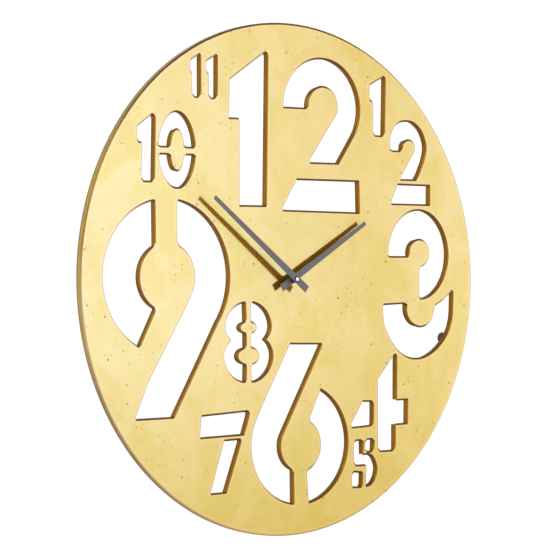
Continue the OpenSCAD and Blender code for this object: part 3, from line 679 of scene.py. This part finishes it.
def brass_dial():
    """The face sheet, from the CAD face's own outlines."""
    loops = face_loops(nodes["brass_face"], FACE_Y)
    rim = max(range(len(loops)), key=lambda i: abs(signed_area(loops[i])))
    sheet = rolled_sheet("brass_face_sheet", loops, rim)
    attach(sheet, "clock_frame")
    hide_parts("brass_face")


def brass_rim():
    """The strip round the rim, under the rolled edge of the face, turned in at the back."""
    outer = RIM_R - 0.12 * MM
    inner = CORE_HI.x + 0.02 * MM
    front, back = FACE_Y + LIP_DEPTH - 0.2 * MM, BACK_Y
    r = 0.5 * MM
    profile = [(outer, front), *quarter(outer - r, back - r, r, 0, 90, 5), (inner, back), (inner, front)]
    steps = 256
    verts, faces = [], []
    for radius, y in profile:
        for i in range(steps):
            a = 2 * math.pi * i / steps
            verts.append((radius * math.cos(a), y, radius * math.sin(a)))
    n = len(profile)
    for k in range(n):
        for i in range(steps):
            j = (i + 1) % steps
            m = (k + 1) % n
            faces.append((k * steps + i, k * steps + j, m * steps + j, m * steps + i))
    band = new_object("rim_band", verts, faces, RIM)
    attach(band, "clock_frame")
    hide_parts("brass_rim_band")


def pin_end():
    """The polished end of the minute arbor: a low dome with a turned edge."""
    lo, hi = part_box("minute_cap")
    r, height = (hi.x - lo.x) / 2, hi.y - lo.y
    edge = 0.3 * MM
    profile = [(AXIS_R, height), (r, height), *quarter(r - edge, edge * 1.6, edge, 0, -60, 5)]
    dome_r, dome_t = profile[-1]
    dome_steps = 8
    for k in range(1, dome_steps):
        share = k / dome_steps
        profile.append((dome_r * (1 - share), dome_t * (1 - math.sin(math.pi / 2 * share))))
    profile.append((AXIS_R, 0.0))
    cap = lathe("pin_end", profile, ((lo.x + hi.x) / 2, lo.y, (lo.z + hi.z) / 2), POLISHED, steps=64)
    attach(cap, "minute_assembly")
    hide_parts("minute_cap")


def battery_cell():
    """A jacketed cell: rolled jacket ends, a steel cap with its nub, and a flat steel base."""
    lo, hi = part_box("battery")
    r = (hi.z - lo.z) / 2
    length = hi.x - lo.x
    centre = (lo.x, (lo.y + hi.y) / 2, (lo.z + hi.z) / 2)
    nub, nub_r = 1.3 * MM, 2.75 * MM
    body = length - nub
    edge = 0.6 * MM
    fold = r - 1.2 * MM
    profile = [(AXIS_R, 0.35 * MM), (fold - 0.1 * MM, 0.35 * MM), (fold, 0.0),
        *quarter(r - edge, edge, edge, -90, 0, 5), *quarter(r - edge, body - edge, edge, 0, 90, 5),
        (fold, body), (fold - 0.2 * MM, body - 0.4 * MM), (AXIS_R, body - 0.4 * MM)]
    jacket = lathe("battery_jacket", profile, centre, JACKET, "X", 96)
    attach(jacket, "clock_frame")
    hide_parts("battery")
    disc_r = fold - 0.3 * MM
    nub_edge = 0.3 * MM
    cap = [(AXIS_R, body - 0.5 * MM), (disc_r, body - 0.5 * MM), (disc_r - 0.1 * MM, body - 0.25 * MM),
        (nub_r + 0.5 * MM, body - 0.2 * MM), (nub_r, body),
        *quarter(nub_r - nub_edge, length - nub_edge, nub_edge, 0, 90, 4), (AXIS_R, length)]
    base = [(AXIS_R, 0.05 * MM), (disc_r, 0.1 * MM), (fold - 0.15 * MM, 0.3 * MM),
        (fold - 0.15 * MM, 0.5 * MM), (AXIS_R, 0.5 * MM)]
    caps = [("battery_cap", cap), ("battery_base", base)]
    for name, shape in caps:
        end = lathe(name, shape, centre, SPRING, "X", 64)
        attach(end, "clock_frame")


dress_cad_nodes()
brass_dial()
brass_rim()
pin_end()
battery_cell()


# ---------------------------------------------------------------- stage, light and camera

def studio_world():
    """Plain white surroundings, dimmer straight above and below."""
    world = bpy.data.worlds.new("studio")
    bpy.context.scene.world = world
    world.use_nodes = True
    tree = world.node_tree
    tree.nodes.clear()
    add, link = tree.nodes.new, tree.links.new
    way = add("ShaderNodeSeparateXYZ")
    link(add("ShaderNodeTexCoord").outputs["Generated"], way.inputs[0])

    def ramp(source, low, high, to_low, to_high):
        n = add("ShaderNodeMapRange")
        n.interpolation_type = "SMOOTHSTEP"
        link(source, n.inputs["Value"])
        limits = {"From Min": low, "From Max": high, "To Min": to_low, "To Max": to_high}
        for key, value in limits.items():
            n.inputs[key].default_value = value
        return n.outputs[0]

    def blend(factor, a, b):
        n = add("ShaderNodeMix")
        link(factor, n.inputs[0])
        for socket, value in ((n.inputs[2], a), (n.inputs[3], b)):
            if isinstance(value, float):
                socket.default_value = value
            else:
                link(value, socket)
        return n.outputs[0]

    around = blend(ramp(way.outputs["Y"], -0.25, 0.1, 0.0, 1.0), FRONT_LEVEL, REAR_LEVEL)
    squared = add("ShaderNodeMath")
    squared.operation = "MULTIPLY"
    link(way.outputs["Z"], squared.inputs[0])
    link(way.outputs["Z"], squared.inputs[1])
    caps = ramp(squared.outputs[0], 0.22, 0.6, 0.0, 1.0)
    background = add("ShaderNodeBackground")
    background.inputs["Color"].default_value = (1, 1, 1, 1)
    link(blend(caps, around, CAP_LEVEL), background.inputs["Strength"])
    output = add("ShaderNodeOutputWorld")
    link(background.outputs[0], output.inputs["Surface"])


def softbox(name, place, target, size, power):
    """A round area light turned towards its target."""
    light = bpy.data.lights.new(name, "AREA")
    light.shape = "DISK"
    light.size = size
    light.energy = power
    obj = bpy.data.objects.new(name, light)
    bpy.context.scene.collection.objects.link(obj)
    obj.location = place
    obj.rotation_mode = "QUATERNION"
    obj.rotation_quaternion = (Vector(target) - Vector(place)).to_track_quat("-Z", "Y")


def pale_floor():
    """A plain pale floor below the clock."""
    drop, half, r = 0.3, 1.25, 0.02
    z = cad_box[0].z - drop
    corners = ((-1, -1), (1, -1), (1, 1), (-1, 1))
    verts = [(half * sx, half * sy + BACK_Y, z - r) for sx, sy in corners]
    verts += [(x, y, z) for x, y, _ in verts]
    faces = [(3, 2, 1, 0), (4, 5, 6, 7), (0, 1, 5, 4), (1, 2, 6, 5), (2, 3, 7, 6), (3, 0, 4, 7)]
    floor_finish = painted("pale_floor", (0.80, 0.80, 0.79), (0.84, 0.84, 0.83), 0.7, 60, 0.03)
    new_object("pale_floor", verts, faces, floor_finish)


# The camera: turned from straight ahead, rolled, then shifted so that the dial's centre is off axis
CAMERA_AZIMUTH = math.radians(40.376)
CAMERA_ROLL = math.radians(-0.478)
CAMERA_DISTANCE = 2.8895
CAMERA_RIGHT = -0.01035
CAMERA_UP = -0.00088
CAMERA_LENS = 158.6
CAMERA_SENSOR = 36


def photo_camera():
    """A long lens from the front left, level with the dial's centre."""
    ahead = Vector((math.sin(CAMERA_AZIMUTH), math.cos(CAMERA_AZIMUTH), 0))
    level = Vector((math.cos(CAMERA_AZIMUTH), -math.sin(CAMERA_AZIMUTH), 0))
    up = Vector((0, 0, 1))
    c, s = math.cos(CAMERA_ROLL), math.sin(CAMERA_ROLL)
    right, top = level * c + up * s, up * c - level * s
    data = bpy.data.cameras.new("camera")
    data.sensor_width = CAMERA_SENSOR
    data.lens = CAMERA_LENS
    camera = bpy.data.objects.new("camera", data)
    bpy.context.scene.collection.objects.link(camera)
    place = Vector((0, FACE_Y, 0)) - ahead * CAMERA_DISTANCE + right * CAMERA_RIGHT + top * CAMERA_UP
    turn = Matrix((right, top, -ahead)).transposed().to_4x4()
    camera.matrix_world = Matrix.Translation(place) @ turn
    bpy.context.scene.camera = camera


studio_world()
softbox("key_light", (-1.6, -2.2, 1.9), (0, 0, 0), 1.6, 26)
pale_floor()
photo_camera()
bpy.context.scene.view_settings.view_transform = "Standard"
